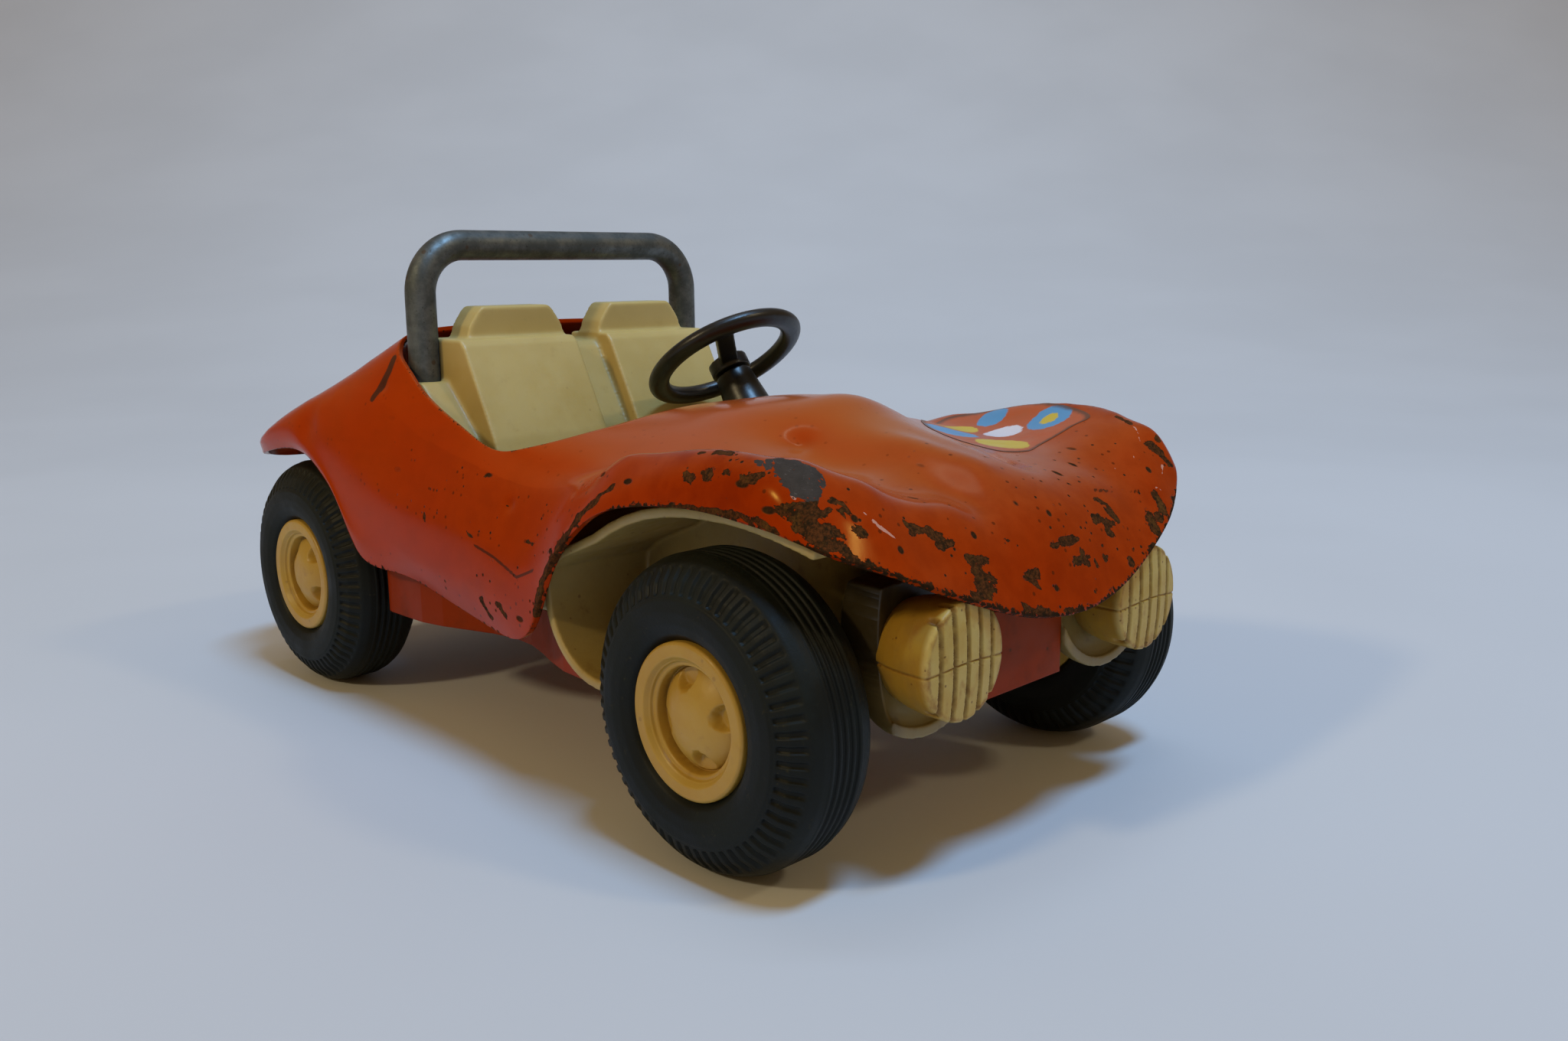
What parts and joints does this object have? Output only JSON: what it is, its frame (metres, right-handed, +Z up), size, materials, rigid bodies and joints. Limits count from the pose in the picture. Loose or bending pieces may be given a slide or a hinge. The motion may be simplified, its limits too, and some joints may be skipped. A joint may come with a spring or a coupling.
{
  "type": "toy dune buggy",
  "caption": "Open pressed-steel toy buggy with moulded seats, roll bar, round headlamps, fat tyres and a pull-back spring drive on its rear axle.",
  "frame": {"origin": "on the ground under the middle of the car", "axes": "-Y is the front of the car, +X its left side, +Z up"},
  "size_m": [0.0738, 0.1441, 0.0696],
  "materials": {
    "orange_paint": "worn gloss enamel with rust chips",
    "cream_plastic": "aged satin moulding",
    "hub_plastic": "aged satin moulding",
    "tyre_rubber": "matt",
    "bare_steel": "dull, mottled",
    "axle_steel": "satin",
    "sleeve_plastic": "satin",
    "black_plastic": "satin",
    "case_plastic": "satin",
    "gear_brass": "satin",
    "spring_steel": "blued",
    "screw_steel": "satin"
  },
  "bodies": {
    "chassis": {"body_shell": "orange_paint", "floor_pan": "orange_paint", "interior_tub": "cream_plastic", "right_fender_liner": "cream_plastic", "left_fender_liner": "cream_plastic", "right_headlamp": "cream_plastic", "left_headlamp": "cream_plastic", "roll_bar": "bare_steel", "steering_column": "black_plastic", "drive_case_right": "case_plastic", "drive_case_left": "case_plastic", "case_screws": "screw_steel", "idler_pin": "axle_steel", "barrel_arbor": "axle_steel", "tub_screws": "screw_steel"},
    "steering": {"steering_wheel": "black_plastic"},
    "front_wheels": {"front_axle": "axle_steel", "front_axle_sleeves": "sleeve_plastic", "front_right_hub": "hub_plastic", "front_left_hub": "hub_plastic", "front_right_tyre": "tyre_rubber", "front_left_tyre": "tyre_rubber"},
    "rear_wheels": {"rear_axle": "axle_steel", "rear_axle_sleeves": "sleeve_plastic", "rear_right_hub": "hub_plastic", "rear_left_hub": "hub_plastic", "rear_right_tyre": "tyre_rubber", "rear_left_tyre": "tyre_rubber", "axle_gear": "gear_brass"},
    "idler": {"idler_gear": "gear_brass"},
    "barrel": {"spring_barrel": "gear_brass", "mainspring": "spring_steel"}
  },
  "joints": [
    {"name": "front_axle_spin", "type": "hinge", "parent": "chassis", "child": "front_wheels", "pos_m": [0, -0.04745, 0.0175], "axis": [1, 0, 0], "continuous": true},
    {"name": "rear_axle_spin", "type": "hinge", "parent": "chassis", "child": "rear_wheels", "pos_m": [0, 0.04745, 0.0175], "axis": [1, 0, 0], "continuous": true},
    {"name": "idler_spin", "type": "hinge", "parent": "chassis", "child": "idler", "pos_m": [0, 0.0527, 0.02659], "axis": [1, 0, 0], "continuous": true},
    {"name": "barrel_spin", "type": "hinge", "parent": "chassis", "child": "barrel", "pos_m": [0, 0.04219, 0.03127], "axis": [1, 0, 0], "continuous": true},
    {"name": "steering_spin", "type": "hinge", "parent": "chassis", "child": "steering", "pos_m": [0.0125, -0.0011, 0.0507], "axis": [0, 0.5736, 0.8192], "continuous": true}
  ],
  "couplings": [
    {"joint": "idler_spin", "follows": "rear_axle_spin", "ratio": -0.4},
    {"joint": "barrel_spin", "follows": "rear_axle_spin", "ratio": 0.11111}
  ]
}
